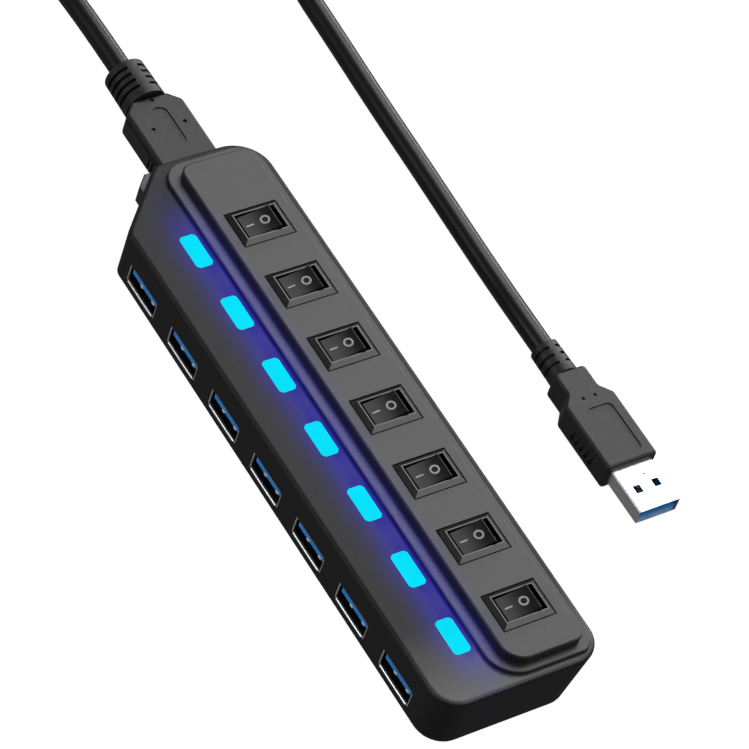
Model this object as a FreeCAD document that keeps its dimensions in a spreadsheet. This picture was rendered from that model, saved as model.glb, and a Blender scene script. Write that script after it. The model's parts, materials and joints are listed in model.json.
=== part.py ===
import FreeCAD, Part
import math
import os
import Sketcher

# USB hub with seven ports, each with its own rocker switch and status light,
# and a short plug-in lead.  Millimetres.  X runs along the case from the lead's
# end to the plain end, -Y is the port face, Z = 0 is the table.

Vector = FreeCAD.Vector
Rotation = FreeCAD.Rotation

DIMENSIONS = [
    # the case
    ("foot_height", 1.0), ("case_half_length", 82.4), ("case_half_width", 22.5),
    ("case_back", 23.2), ("back_lean", 0.3),
    ("shoulder_height", 16.0), ("wall", 1.8), ("corner_cut", 16.6), ("cut_round", 3.5),
    ("round_plain_port", 7.0), ("round_plain_back", 7.5), ("round_lead_back", 9.5),
    ("case_edge_round", 1.2), ("case_foot_round", 0.4), ("base_thickness", 1.4), ("base_gap", 0.1),
    # the raised switch panel: a low ledge with the plate on it
    ("ledge_low_x", -80.2), ("ledge_high_x", 80.5), ("ledge_low_y", -5.9), ("ledge_high_y", 20.4),
    ("ledge_top", 17.1), ("plate_low_x", -77.5), ("plate_high_x", 78.4),
    ("plate_low_y", -2.5), ("plate_high_y", 17.8), ("plate_top", 19.4), ("plate_thickness", 2.0),
    ("well_low_y", 0.5), ("well_high_y", 14.8), ("well_end", 6.0), ("skirt", 1.0), ("skirt_depth", 1.4),
    # the row of ports, lights and switches
    ("first_port_x", -55.0), ("pitch", 20.0), ("switch_y", 7.65), ("light_y", -9.5),
    ("port_bottom", 3.5), ("port_height", 5.12), ("port_width", 12.5), ("port_depth", 14.0),
    ("port_setback", 0.2), ("steel", 0.3), ("tongue_width", 11.1), ("tongue_thickness", 1.84),
    ("tongue_height", 7.27), ("tongue_setback", 0.5),
    ("light_length", 10.0), ("light_width", 4.7), ("light_round", 1.2),
    ("lens_flange", 1.0), ("lamp_height", 1.0), ("fit_gap", 0.05),
    # a rocker switch
    ("bezel_x", 10.2), ("bezel_y", 14.2), ("recess_x", 10.8), ("recess_y", 14.8),
    ("recess_depth", 0.55), ("rim_height", 0.88), ("rim_flat", 0.3),
    ("opening_x", 7.3), ("opening_y", 11.3), ("barrel_x", 9.2), ("barrel_y", 13.2),
    ("barrel_depth", 10.4), ("well_depth", 6.5), ("panel_hole_x", 9.6), ("panel_hole_y", 13.6),
    ("rocker_width", 6.9), ("rocker_radius", 5.45), ("rocker_face", 3.25), ("rocker_tilt", 10.3),
    ("rocker_hollow", 38.4), ("rocker_dish", 0.25), ("rocker_edge", 0.22),
    ("pivot_drop", 2.2), ("pin_radius", 0.85), ("pin_clearance", 0.05),
    ("pin_span", 8.6),
    # the circuit board and what stands on it
    ("board_bottom", 4.4), ("board_thickness", 1.6), ("screw_x_low", -45.0), ("screw_x_high", 55.0),
    ("screw_y", 18.0), ("screw_back_x_low", -67.5), ("screw_back_x_high", 76.3),
    ("screw_back_y", 11.0), ("boss_radius", 2.0), ("screw_radius", 0.8), ("head_radius", 2.0),
    ("head_height", 0.8), ("foot_radius", 4.5), ("foot_sink", 0.4),
    # power inlet on the cut corner
    ("inlet_bottom", 6.0), ("inlet_top", 11.0), ("inlet_width", 7.0), ("inlet_depth", 8.0),
    ("inlet_hole", 1.85), ("inlet_pin", 0.5), ("inlet_out_x", -84.0), ("inlet_low_y", -9.85),
    ("inlet_high_y", -4.2), ("inlet_face", 3.25), ("inlet_root", 0.85),
    # uplink receptacle and the flat plug in it
    ("uplink_y", 6.8), ("uplink_z", 7.5), ("uplink_width", 12.9), ("uplink_height", 3.0),
    ("plug_steel_width", 11.9), ("plug_steel_height", 1.8), ("plug_steel_length", 5.2),
    ("hub_plug_width", 16.0), ("hub_plug_height", 7.4), ("hub_plug_near", -82.6),
    ("hub_plug_far", -105.5), ("hub_relief_far", -116.8), ("hub_relief_wide", 5.7),
    ("hub_relief_slim", 5.45),
    # the loose end of the lead
    ("cord_diameter", 5.8), ("usb_y", 64.9), ("usb_z", 4.0), ("usb_relief_x", -6.0),
    ("usb_neck_x", 3.6), ("usb_shoulder_x", 10.2), ("usb_wide_x", 13.3), ("usb_body_end", 33.3),
    ("usb_tip_x", 46.2), ("usb_neck_width", 9.3), ("usb_wide_width", 14.6), ("usb_body_height", 8.0),
    ("usb_shell_width", 12.0), ("usb_shell_height", 4.5), ("usb_relief_slim", 3.75),
    ("usb_relief_wide", 4.2),
]

PORTS = range(1, 8)
BIG = 60.0              # longer than anything a tool or slot has to clear
PAST = 1.0              # how far a cutting tool runs past the face that it cuts

doc = FreeCAD.newDocument("usb_hub")
sheet = doc.addObject("Spreadsheet::Sheet", "Sizes")


class Size:
    """A length that carries its value and the sheet formula that gives it."""

    def __init__(self, value, formula):
        self.value = value
        self.formula = formula

    def __add__(self, other):
        other = as_size(other)
        return Size(self.value + other.value, f"({self.formula} + {other.formula})")

    def __sub__(self, other):
        other = as_size(other)
        return Size(self.value - other.value, f"({self.formula} - {other.formula})")

    def __mul__(self, factor):
        factor = as_size(factor)
        return Size(self.value * factor.value, f"({self.formula} * {factor.formula})")

    def __truediv__(self, factor):
        return self * (1.0 / factor)

    def __neg__(self):
        return self * -1.0

    def __radd__(self, other):
        return as_size(other) + self

    def __rsub__(self, other):
        return as_size(other) - self

    __rmul__ = __mul__


def as_size(thing):
    if isinstance(thing, Size):
        return thing
    return Size(float(thing), f"({float(thing)})")


class Sheet:
    """Reads the sheet's cells by their alias, as S.case_half_length."""

    def __init__(self, dimensions):
        for row, (alias, value) in enumerate(dimensions, 1):
            sheet.set(f"A{row}", str(value))
            sheet.setAlias(f"A{row}", alias)
            setattr(self, alias, Size(value, f"Sizes.{alias}"))


S = Sheet(DIMENSIONS)
doc.recompute()

# ---- small tools ---------------------------------------------------------


def bind(thing, path, size):
    thing.setExpression(path, as_size(size).formula)


def place(thing, at, axis=(0, 0, 1), angle=0.0):
    """Put a thing's origin at a point, turned about an axis."""
    base = Vector(*[as_size(value).value for value in at])
    thing.Placement = FreeCAD.Placement(base, Rotation(Vector(*axis), as_size(angle).value))
    for letter, value in zip("xyz", at):
        bind(thing, f"Placement.Base.{letter}", value)
    if isinstance(angle, Size):
        bind(thing, "Placement.Rotation.Angle", angle)
    return thing


def move(thing, base, turn):
    """Give a thing a free placement in place of the bound one."""
    for letter in "xyz":
        thing.setExpression(f"Placement.Base.{letter}", None)
    thing.Placement = FreeCAD.Placement(base, turn)
    return thing


def box(name, low, high):
    piece = doc.addObject("Part::Box", name)
    for path, a, b in zip(("Length", "Width", "Height"), low, high):
        bind(piece, path, as_size(b) - a)
    return place(piece, low)


TURNS = {"x": ((0, 1, 0), 90.0), "y": ((1, 0, 0), -90.0), "z": ((0, 0, 1), 0.0)}


def rod(name, radius, length, at, along="z"):
    piece = doc.addObject("Part::Cylinder", name)
    bind(piece, "Radius", radius)
    bind(piece, "Height", length)
    axis, angle = TURNS[along]
    return place(piece, at, axis, angle)


def cone(name, radius_low, radius_high, length, at, along="x"):
    piece = doc.addObject("Part::Cone", name)
    bind(piece, "Radius1", radius_low)
    bind(piece, "Radius2", radius_high)
    bind(piece, "Height", length)
    axis, angle = TURNS[along]
    return place(piece, at, axis, angle)


def join(name, pieces):
    if len(pieces) == 1:
        return pieces[0]
    joined = doc.addObject("Part::MultiFuse", name)
    joined.Shapes = pieces
    return joined


def cut(name, base, tools):
    result = doc.addObject("Part::Cut", name)
    result.Base = base
    result.Tool = join(name + "_tools", tools)
    return result


def common(name, base, tool):
    result = doc.addObject("Part::Common", name)
    result.Base = base
    result.Tool = tool
    return result


def group(name, pieces):
    """Separate identical solids that share one node."""
    holder = doc.addObject("Part::Compound", name)
    holder.Links = pieces
    return holder


def plane_of(body, role):
    return next(f for f in body.Origin.OriginFeatures if f.Role == role)


def outline(body, name, corners, height):
    """A closed sketch on the body's XY plane, each corner bound to the sheet."""
    sketch = body.newObject("Sketcher::SketchObject", name)
    sketch.AttachmentSupport = [(plane_of(body, "XY_Plane"), "")]
    sketch.MapMode = "FlatFace"
    bind(sketch, "AttachmentOffset.Base.z", height)
    points = [Vector(as_size(x).value, as_size(y).value, 0) for x, y in corners]
    count = len(points)
    for index in range(count):
        sketch.addGeometry(Part.LineSegment(points[index], points[(index + 1) % count]), False)
    for index in range(count):
        sketch.addConstraint(Sketcher.Constraint("Coincident", index, 2, (index + 1) % count, 1))
    for index, corner in enumerate(corners):
        for kind, value, number in zip(("DistanceX", "DistanceY"), corner, points[index]):
            row = sketch.addConstraint(Sketcher.Constraint(kind, -1, 1, index, 1, number))
            sketch.renameConstraint(row, f"corner{index}{kind[-1]}")
            bind(sketch, f"Constraints.corner{index}{kind[-1]}", value)
    return sketch


def pad(body, name, corners, low, high):
    sketch = outline(body, name + "_outline", corners, low)
    feature = body.newObject("PartDesign::Pad", name)
    feature.Profile = sketch
    bind(feature, "Length", as_size(high) - low)
    doc.recompute()
    return feature


def upright_edges(feature, corner):
    """Names of the edges that rise to one corner of an outline's top."""
    x, y = [as_size(value).value for value in corner]
    names = []
    for number, edge in enumerate(feature.Shape.Edges, 1):
        ends = sorted((vertex.Point for vertex in edge.Vertexes), key=lambda point: point.z)
        if len(ends) == 2 and ends[1].z - ends[0].z > 1e-3:
            if math.hypot(ends[1].x - x, ends[1].y - y) < 1e-3:
                names.append(f"Edge{number}")
    return names


def level_edges(feature, height, inside=None):
    """Names of the edges that lie flat at a height, within a box if one is given."""
    z = as_size(height).value
    names = []
    for number, edge in enumerate(feature.Shape.Edges, 1):
        bounds = edge.BoundBox
        if abs(bounds.ZMin - z) < 1e-4 and abs(bounds.ZMax - z) < 1e-4:
            if inside is None or inside.isInside(bounds):
                names.append(f"Edge{number}")
    return names


def fillet(body, name, edges, radius):
    base = body.Tip
    feature = body.newObject("PartDesign::Fillet", name)
    feature.Base = (base, edges)
    bind(feature, "Radius", radius)
    body.Tip = feature
    doc.recompute()
    return feature


def round_corners(body, name, corners, radii):
    """Round the vertical edges, one radius per corner (None leaves it sharp)."""
    for index, (corner, radius) in enumerate(zip(corners, radii)):
        if radius is not None:
            fillet(body, f"{name}_corner{index}", upright_edges(body.Tip, corner), radius)


def lean_back(body, name, lean):
    """Lean the rearmost face in towards the table, about its top edge."""
    base = body.Tip
    faces = {f"Face{number}": face for number, face in enumerate(base.Shape.Faces, 1)}
    rear = max(faces, key=lambda face: faces[face].CenterOfMass.y)
    top = max(faces, key=lambda face: faces[face].CenterOfMass.z)
    draft = body.newObject("PartDesign::Draft", name)
    draft.Base = (base, [rear])
    draft.NeutralPlane = (base, [top])
    bind(draft, "Angle", Size(math.degrees(math.atan(lean.value)), f"atan({lean.formula})"))
    draft.Reversed = True
    body.Tip = draft
    doc.recompute()
    if draft.Shape.Volume >= base.Shape.Volume:
        raise RuntimeError(f"{name} leans outwards")


def slab(name, corners, low, high, radii=None, top=None, bottom=None, lean=None):
    """A prism with rounded corners and, if asked, a leaning back and rounded top and bottom edges."""
    body = doc.addObject("PartDesign::Body", name)
    pad(body, name + "_pad", corners, low, high)
    if lean is not None:
        lean_back(body, name + "_lean", lean)
    if radii is not None:
        if not isinstance(radii, (list, tuple)):
            radii = [radii] * len(corners)
        round_corners(body, name, corners, radii)
    if top is not None:
        fillet(body, name + "_top_round", level_edges(body.Tip, high), top)
    if bottom is not None:
        fillet(body, name + "_bottom_round", level_edges(body.Tip, low), bottom)
    return body


def rectangle(low_x, high_x, low_y, high_y):
    return [(low_x, low_y), (high_x, low_y), (high_x, high_y), (low_x, high_y)]


def centred(x, y, width, depth):
    width, depth = as_size(width), as_size(depth)
    return rectangle(x - width / 2, x + width / 2, y - depth / 2, y + depth / 2)


def port_x(number):
    return S.first_port_x + S.pitch * (number - 1)


def facing_port(body, x, z, front_y):
    """Stand a slab up so that its own Z runs out of the port face."""
    return place(body, (x, front_y, z), (1, 0, 0), 90.0)


nodes = {}


def node(label, piece):
    piece.Label = label
    nodes[label] = piece


# ---- the case -------------------------------------------------------------

BEVEL = math.tan(math.radians(22.5))


def case_outline(inset, height=S.shoulder_height):
    """Plan of the case at a height.

    The corner at the lead's end and port side is cut at 45 degrees, and the
    back leans in towards the table.
    """
    half_x = S.case_half_length - inset
    front = S.case_half_width - inset
    back = S.case_back - inset - S.back_lean * (S.shoulder_height - height)
    cut_size = S.corner_cut - as_size(inset) * (1.0 - BEVEL)
    return [(-half_x, cut_size - front), (cut_size - half_x, -front),
            (half_x, -front), (half_x, back), (-half_x, back)]


def case_radii(inset):
    radii = (S.cut_round, S.cut_round, S.round_plain_port, S.round_plain_back, S.round_lead_back)
    return [radius - inset for radius in radii]


def screw_places():
    front = [(x, -S.screw_y) for x in (S.screw_x_low, S.screw_x_high)]
    return front + [(x, S.screw_back_y) for x in (S.screw_back_x_low, S.screw_back_x_high)]


BOARD_TOP = S.board_bottom + S.board_thickness
CEILING = S.shoulder_height - S.wall
WELL_LOW_X = port_x(1) - S.well_end
WELL_HIGH_X = port_x(7) + S.well_end


def inlet_outline():
    """Plan of the power inlet's surround, a squared block on the cut corner, its own corner cut too."""
    cut_sum = -S.case_half_length - S.case_half_width + S.corner_cut
    rim_x = -S.case_half_length + S.inlet_root
    return [(rim_x, S.inlet_high_y), (S.inlet_out_x, S.inlet_high_y),
            (S.inlet_out_x, S.inlet_low_y + S.inlet_face), (S.inlet_out_x + S.inlet_face, S.inlet_low_y),
            (cut_sum - S.inlet_low_y + S.inlet_root, S.inlet_low_y)]


# the inlet's own Z points out of the cut corner, its own X lies along the cut
INLET_OUT = Vector(-1, -1, 0).normalize()
INLET_ALONG = Vector(1, -1, 0).normalize()
INLET_MIDDLE = (S.inlet_bottom + S.inlet_top) / 2
INLET_FRONT = Vector((S.inlet_out_x + S.inlet_face / 2).value, (S.inlet_low_y + S.inlet_face / 2).value,
                     INLET_MIDDLE.value)
INLET_STEP = 2.3        # how far behind the surround's face the barrel starts
INLET_BORE = 6.5
INLET_TURN = Rotation(INLET_ALONG, Vector(0, 0, 1), INLET_OUT, "ZXY")
INLET_FLOOR = INLET_FRONT - INLET_OUT * INLET_BORE


def inlet_block(name, extra):
    """The inlet's barrel, which runs from its front into the case at 45 degrees."""
    half_x = (S.inlet_width + extra) / 2
    half_y = (S.inlet_top - S.inlet_bottom + extra) / 2
    block = slab(name, rectangle(-half_x, half_x, -half_y, half_y), -S.inlet_depth - extra, -INLET_STEP)
    return move(block, INLET_FRONT, INLET_TURN)


def upper_shell():
    shell = doc.addObject("PartDesign::Body", "shell")
    corners = case_outline(0.0)
    pad(shell, "shell_pad", corners, S.foot_height, S.shoulder_height)
    lean_back(shell, "shell_lean", S.back_lean)
    round_corners(shell, "shell", corners, case_radii(0.0))
    fillet(shell, "shell_top_round", level_edges(shell.Tip, S.shoulder_height), S.case_edge_round)
    fillet(shell, "shell_foot_round", level_edges(shell.Tip, S.foot_height), S.case_foot_round)
    hollow = slab("hollow", case_outline(S.wall, CEILING), S.foot_height - PAST, CEILING,
                  case_radii(S.wall), lean=S.back_lean)
    bosses = []
    holes = []
    for index, (x, y) in enumerate(screw_places()):
        bosses.append(rod(f"boss{index}", S.boss_radius, CEILING - BOARD_TOP + 0.5, (x, y, BOARD_TOP)))
        holes.append(rod(f"boss_hole{index}", S.screw_radius, 6.0, (x, y, BOARD_TOP - 0.5)))
    base = join("shell_and_bosses", [cut("shell_hollowed", shell, [hollow])] + bosses)
    tools = holes + [uplink_hole(), slab("panel_well", rectangle(
        WELL_LOW_X - S.skirt - 0.2, WELL_HIGH_X + S.skirt + 0.2,
        S.well_low_y - S.skirt - 0.2, S.well_high_y + S.skirt + 0.2),
        CEILING - PAST, S.shoulder_height + PAST, 1.0)]
    tools.append(inlet_block("inlet_hole", 0.1))
    tools.append(slab("inlet_notch", inlet_outline(), S.inlet_bottom, S.inlet_top))
    for number in PORTS:
        width = S.port_width + (S.steel + S.fit_gap) * 2
        height = S.port_height + (S.steel + S.fit_gap) * 2
        opening = slab(f"port_hole_{number}", centred(0.0, 0.0, width, height), -PAST, S.wall + PAST, 0.55)
        middle = S.port_bottom + S.port_height / 2
        tools.append(facing_port(opening, port_x(number), middle, S.wall - S.case_half_width))
        tools.append(slab(f"light_hole_{number}",
                          centred(port_x(number), S.light_y, S.light_length, S.light_width),
                          CEILING - PAST, S.shoulder_height + PAST, S.light_round))
    node("upper_shell", cut("upper_shell_cut", base, tools))


def uplink_hole():
    half_y = S.uplink_width / 2 + S.fit_gap
    half_z = S.uplink_height / 2 + S.fit_gap
    return box("uplink_hole", (-S.case_half_length - PAST, S.uplink_y - half_y, S.uplink_z - half_z),
               (-S.case_half_length + S.wall + PAST, S.uplink_y + half_y, S.uplink_z + half_z))


def foot_places():
    return [(-64.0, -13.5), (72.0, -15.0), (-58.0, 10.5), (64.0, 10.5)]


def lower_shell():
    inset = S.wall + S.base_gap
    corners = case_outline(inset, S.foot_height)
    top = S.foot_height + S.base_thickness
    base = slab("base", corners, S.foot_height, top, case_radii(inset))
    pieces = [base]
    holes = []
    for index, (x, y) in enumerate(screw_places()):
        pieces.append(rod(f"post{index}", 2.4, S.board_bottom - top + 0.3, (x, y, top - 0.3)))
        holes.append(rod(f"post_hole{index}", S.screw_radius + 0.3, BIG, (x, y, 0.0)))
        holes.append(rod(f"head_sink{index}", S.head_radius + 0.15, S.head_height + 0.1 + PAST,
                         (x, y, S.foot_height - PAST)))
    for index, (x, y) in enumerate(foot_places()):
        holes.append(rod(f"foot_sink{index}", S.foot_radius + S.fit_gap, S.foot_sink + PAST,
                         (x, y, S.foot_height - PAST)))
    node("lower_shell", cut("lower_shell_cut", join("base_and_posts", pieces), holes))


def rubber_feet():
    feet = [rod(f"foot{index}", S.foot_radius, S.foot_height + S.foot_sink, (x, y, 0.0))
            for index, (x, y) in enumerate(foot_places())]
    node("rubber_feet", group("feet", feet))


def case_screws():
    screws = []
    for index, (x, y) in enumerate(screw_places()):
        top = S.foot_height + 0.1 + S.head_height
        head = rod(f"screw_head{index}", S.head_radius, S.head_height, (x, y, S.foot_height + 0.1))
        shank = rod(f"screw_shank{index}", S.screw_radius - 0.02, 8.0, (x, y, top - 0.2))
        slots = [box(f"screw_slot{index}{turn}", (x - a, y - b, S.foot_height - PAST),
                     (x + a, y + b, S.foot_height + 0.55))
                 for turn, (a, b) in enumerate(((1.1, 0.2), (0.2, 1.1)))]
        screws.append(cut(f"screw{index}", join(f"screw_whole{index}", [head, shank]), slots))
    node("case_screws", group("screws", screws))


# ---- the switch panel -------------------------------------------------------


LEDGE_RADII = (5.75, 8.0, 3.5, 6.5)
PLATE_RADII = (3.0, 5.5, 2.0, 3.5)


def switch_panel():
    panel = doc.addObject("PartDesign::Body", "panel")
    ledge = rectangle(S.ledge_low_x, S.ledge_high_x, S.ledge_low_y, S.ledge_high_y)
    pad(panel, "ledge_pad", ledge, S.shoulder_height, S.ledge_top)
    round_corners(panel, "ledge", ledge, LEDGE_RADII)
    fillet(panel, "ledge_edge_round", level_edges(panel.Tip, S.ledge_top), 0.35)
    plate = rectangle(S.plate_low_x, S.plate_high_x, S.plate_low_y, S.plate_high_y)
    pad(panel, "plate_pad", plate, S.ledge_top, S.plate_top)
    round_corners(panel, "plate", plate, PLATE_RADII)
    fillet(panel, "plate_edge_round", level_edges(panel.Tip, S.plate_top), 0.45)
    skirt = slab("panel_skirt", rectangle(WELL_LOW_X - S.skirt, WELL_HIGH_X + S.skirt,
                                          S.well_low_y - S.skirt, S.well_high_y + S.skirt),
                 S.shoulder_height - S.skirt_depth, S.shoulder_height, 1.0)
    well = slab("well", rectangle(WELL_LOW_X, WELL_HIGH_X, S.well_low_y, S.well_high_y),
                S.shoulder_height - S.skirt_depth - PAST, S.plate_top - S.plate_thickness)
    tools = [well]
    for number in PORTS:
        x = port_x(number)
        tools.append(slab(f"panel_hole_{number}", centred(x, S.switch_y, S.panel_hole_x, S.panel_hole_y),
                          CEILING, S.plate_top + PAST))
        tools.append(slab(f"recess_{number}", centred(x, S.switch_y, S.recess_x, S.recess_y),
                          S.plate_top - S.recess_depth, S.plate_top + PAST))
    node("switch_panel", cut("switch_panel_cut", join("panel_and_skirt", [panel, skirt]), tools))


# ---- a rocker switch, drawn about the middle of its bezel on the plate ------


def wedge(name, low, high, x_top, y_top):
    """A block that narrows upwards to a smaller top, centred on the same axis."""
    piece = doc.addObject("Part::Wedge", name)
    half_x, half_z = as_size(low[0]) / 2, as_size(low[1]) / 2
    bounds = {"Xmin": -half_x, "Xmax": half_x, "Zmin": -half_z, "Zmax": half_z,
              "X2min": -as_size(x_top) / 2, "X2max": as_size(x_top) / 2,
              "Z2min": -as_size(y_top) / 2, "Z2max": as_size(y_top) / 2,
              "Ymin": 0.0, "Ymax": high}
    for path, value in bounds.items():
        bind(piece, path, value)
    piece.Placement = FreeCAD.Placement(Vector(0, 0, 0), Rotation(Vector(1, 0, 0), 90.0))
    return piece


def switch_body(number):
    name = f"switch{number}_"
    half_x, half_y = S.bezel_x / 2, S.bezel_y / 2
    flange = box(name + "flange", (-half_x, -half_y, -S.recess_depth), (half_x, half_y, 0.0))
    slope = wedge(name + "slope", (S.bezel_x, S.bezel_y), S.rim_height,
                  S.opening_x + S.rim_flat * 2, S.opening_y + S.rim_flat * 2)
    barrel = box(name + "barrel", (-S.barrel_x / 2, -S.barrel_y / 2, -S.barrel_depth),
                 (S.barrel_x / 2, S.barrel_y / 2, -S.recess_depth))
    latches = []
    for side in (-1, 1):
        latch = wedge(f"{name}latch{side + 1}", (3.0, 0.8), 1.6, 3.0, 0.1)
        latch.Placement = FreeCAD.Placement(
            Vector(0, side * (S.barrel_y.value / 2), -S.plate_thickness.value - 0.05),
            Rotation(Vector(1, 0, 0), -90.0))
        latches.append(latch)
    well = box(name + "well", (-S.opening_x / 2, -S.opening_y / 2, -S.well_depth),
               (S.opening_x / 2, S.opening_y / 2, S.rim_height + PAST))
    bore = rod(name + "bore", S.pin_radius + S.pin_clearance, S.pin_span + 0.1,
               (-(S.pin_span + 0.1) / 2, 0.0, -S.pivot_drop), "x")
    whole = join(name + "whole", [flange, slope, barrel] + latches)
    piece = cut(name + "body", whole, [well, bore])
    place(piece, (port_x(number), S.switch_y, S.plate_top))
    node(f"switch_body_{number}", piece)


def rocker(number):
    """Drawn about its pivot: a round-ended paddle with a slightly hollow face."""
    name = f"rocker{number}_"
    half = S.rocker_width / 2
    disc = rod(name + "disc", S.rocker_radius, S.rocker_width, (-half, 0.0, 0.0), "x")
    keep = box(name + "keep", (-half, -S.rocker_radius, -0.95), (half, S.rocker_radius, S.rocker_face))
    paddle = common(name + "paddle", disc, keep)
    dish = rod(name + "dish", S.rocker_hollow, S.rocker_width + PAST * 2,
               (-half - PAST, 0.0, S.rocker_face + S.rocker_hollow - S.rocker_dish), "x")
    core = box(name + "core", (-half + 0.9, -S.rocker_radius + 1.4, -2.0),
               (half - 0.9, S.rocker_radius - 1.4, 1.1))
    plunger = box(name + "plunger", (-1.2, -0.9, -2.6), (1.2, 0.9, 1.5))
    pin = rod(name + "pin", S.pin_radius, S.pin_span, (-S.pin_span / 2, 0.0, 0.0), "x")
    hollowed = cut(name + "hollowed", paddle, [dish, core])
    whole = join(name + "whole", [hollowed, plunger, pin])
    doc.recompute()
    rounded = doc.addObject("Part::Fillet", name + "rounded")
    rounded.Base = whole
    edge_round = S.rocker_edge.value
    rounded.Edges = [(index, edge_round, edge_round) for index in face_edges(whole)]
    place(rounded, (port_x(number), S.switch_y, S.plate_top - S.pivot_drop), (1, 0, 0), S.rocker_tilt)
    node(f"rocker_{number}", rounded)


def face_edges(rocker_shape):
    """Numbers of the edges round the rocker's pressed face."""
    edges = []
    floor = S.rocker_face.value - 0.5
    for number, edge in enumerate(rocker_shape.Shape.Edges, 1):
        if edge.BoundBox.ZMin > floor:
            edges.append(number)
    return edges


def switch_terminals():
    blades = []
    for number in PORTS:
        x = port_x(number)
        for side in (-3.6, 0.0, 3.6):
            blades.append(box(f"blade{len(blades)}", (x - 1.0, S.switch_y + side - 0.25, BOARD_TOP),
                              (x + 1.0, S.switch_y + side + 0.25, S.plate_top - S.barrel_depth)))
    node("switch_terminals", group("blades", blades))


# ---- lights and ports -------------------------------------------------------


LENS_REACH = 5.8        # half the length of the flange under the shoulder
LENS_FRONT = 2.9
LENS_BACK = 3.8
LENS_LEG = 1.5          # half the width of the leg that stands over the lamp
LAMP_FRONT = 1.8


def light_window(number):
    """The window, its flange under the shoulder and its leg down to the lamp on the board."""
    name = f"light{number}_"
    x = port_x(number)
    gap = S.fit_gap * 2
    window = slab(name + "window", centred(x, S.light_y, S.light_length - gap, S.light_width - gap),
                  CEILING, S.shoulder_height + 0.05, S.light_round - S.fit_gap)
    flange = box(name + "flange", (x - LENS_REACH, S.light_y - LENS_FRONT, CEILING - S.lens_flange),
                 (x + LENS_REACH, S.light_y + LENS_BACK, CEILING))
    leg = box(name + "leg", (x - LENS_LEG, S.light_y + LAMP_FRONT, BOARD_TOP + S.lamp_height + 0.2),
              (x + LENS_LEG, S.light_y + LENS_BACK, CEILING))
    node(f"light_window_{number}", join(name + "whole", [window, flange, leg]))


def status_leds():
    lamps = [box(f"lamp{number}", (port_x(number) - 1.6, S.light_y + LAMP_FRONT + 0.1, BOARD_TOP),
                 (port_x(number) + 1.6, S.light_y + LENS_BACK - 0.1, BOARD_TOP + S.lamp_height))
             for number in PORTS]
    node("status_leds", group("lamps", lamps))


PORT_MIDDLE = S.port_bottom + S.port_height / 2
PORT_FRONT = S.port_setback - S.case_half_width


def port_shell(number):
    name = f"port{number}_"
    wide = S.port_width + S.steel * 2
    tall = S.port_height + S.steel * 2
    outer = slab(name + "outer", centred(0.0, 0.0, wide, tall), -S.port_depth, 0.0, 0.5)
    inner = slab(name + "inner", centred(0.0, 0.0, S.port_width, S.port_height),
                 S.steel - S.port_depth, 1.0, 0.2)
    piece = cut(name + "shell", outer, [inner])
    place(piece, (port_x(number), PORT_FRONT, PORT_MIDDLE), (1, 0, 0), 90.0)
    node(f"port_shell_{number}", piece)


def port_tongue(number):
    name = f"tongue{number}_"
    x = port_x(number)
    back = PORT_FRONT + S.port_depth - S.steel
    half = S.tongue_thickness / 2
    gap = S.fit_gap + 0.02
    block = box(name + "block", (x - S.port_width / 2 + gap, back - 2.6, S.port_bottom + gap),
                (x + S.port_width / 2 - gap, back, S.port_bottom + S.port_height - gap))
    blade = box(name + "blade",
                (x - S.tongue_width / 2, PORT_FRONT + S.tongue_setback, S.tongue_height - half),
                (x + S.tongue_width / 2, back - 2.6, S.tongue_height + half))
    node(f"port_tongue_{number}", join(name + "whole", [block, blade]))


def port_contacts():
    """Four long and five short contacts under each tongue."""
    strips = []
    under = S.tongue_height - S.tongue_thickness / 2
    for number in PORTS:
        x = port_x(number)
        for side in (-3.5, -1.0, 1.0, 3.5):
            strips.append(box(f"strip{len(strips)}", (x + side - 0.5, PORT_FRONT + 3.2, under - 0.15),
                              (x + side + 0.5, PORT_FRONT + 10.5, under)))
        for side in (-4.0, -2.0, 0.0, 2.0, 4.0):
            strips.append(box(f"strip{len(strips)}", (x + side - 0.35, PORT_FRONT + 1.4, under - 0.15),
                              (x + side + 0.35, PORT_FRONT + 2.7, under)))
    node("port_contacts", group("strips", strips))


# ---- circuit board, uplink and power sockets --------------------------------


def circuit_board():
    inset = S.wall + 0.4
    board = slab("board", case_outline(inset, S.board_bottom), S.board_bottom, BOARD_TOP, case_radii(inset))
    tools = [inlet_block("board_inlet_notch", 0.8),
             slab("board_inlet_corner", inlet_outline(), S.inlet_bottom, S.inlet_top)]
    for number in PORTS:
        x = port_x(number)
        half = S.port_width / 2 + S.steel + 0.3
        tools.append(box(f"board_notch_{number}", (x - half, -BIG, 0.0),
                         (x + half, PORT_FRONT + S.port_depth + 0.2, BIG)))
    for index, (x, y) in enumerate(screw_places()):
        tools.append(rod(f"board_hole{index}", S.screw_radius + 0.4, BIG, (x, y, 0.0)))
    node("circuit_board", cut("board_cut", board, tools))


def hub_chips():
    """Two hub controllers, a power part, a crystal and a row of capacitors."""
    places = [(-25.0, 12.0, 7.0, 7.0, 0.9), (35.0, 12.0, 7.0, 7.0, 0.9), (-65.0, 3.0, 5.0, 3.0, 1.6),
              (-34.5, 14.6, 5.0, 3.2, 1.2)]
    places += [(x, 15.2, 1.2, 2.0, 1.0) for x in (-20.0, -10.0, 0.0, 10.0, 20.0, 40.0, 66.0)]
    chips = [box(f"chip{index}", (x - a / 2, y - b / 2, BOARD_TOP), (x + a / 2, y + b / 2, BOARD_TOP + tall))
             for index, (x, y, a, b, tall) in enumerate(places)]
    node("hub_chips", group("chips", chips))


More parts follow.
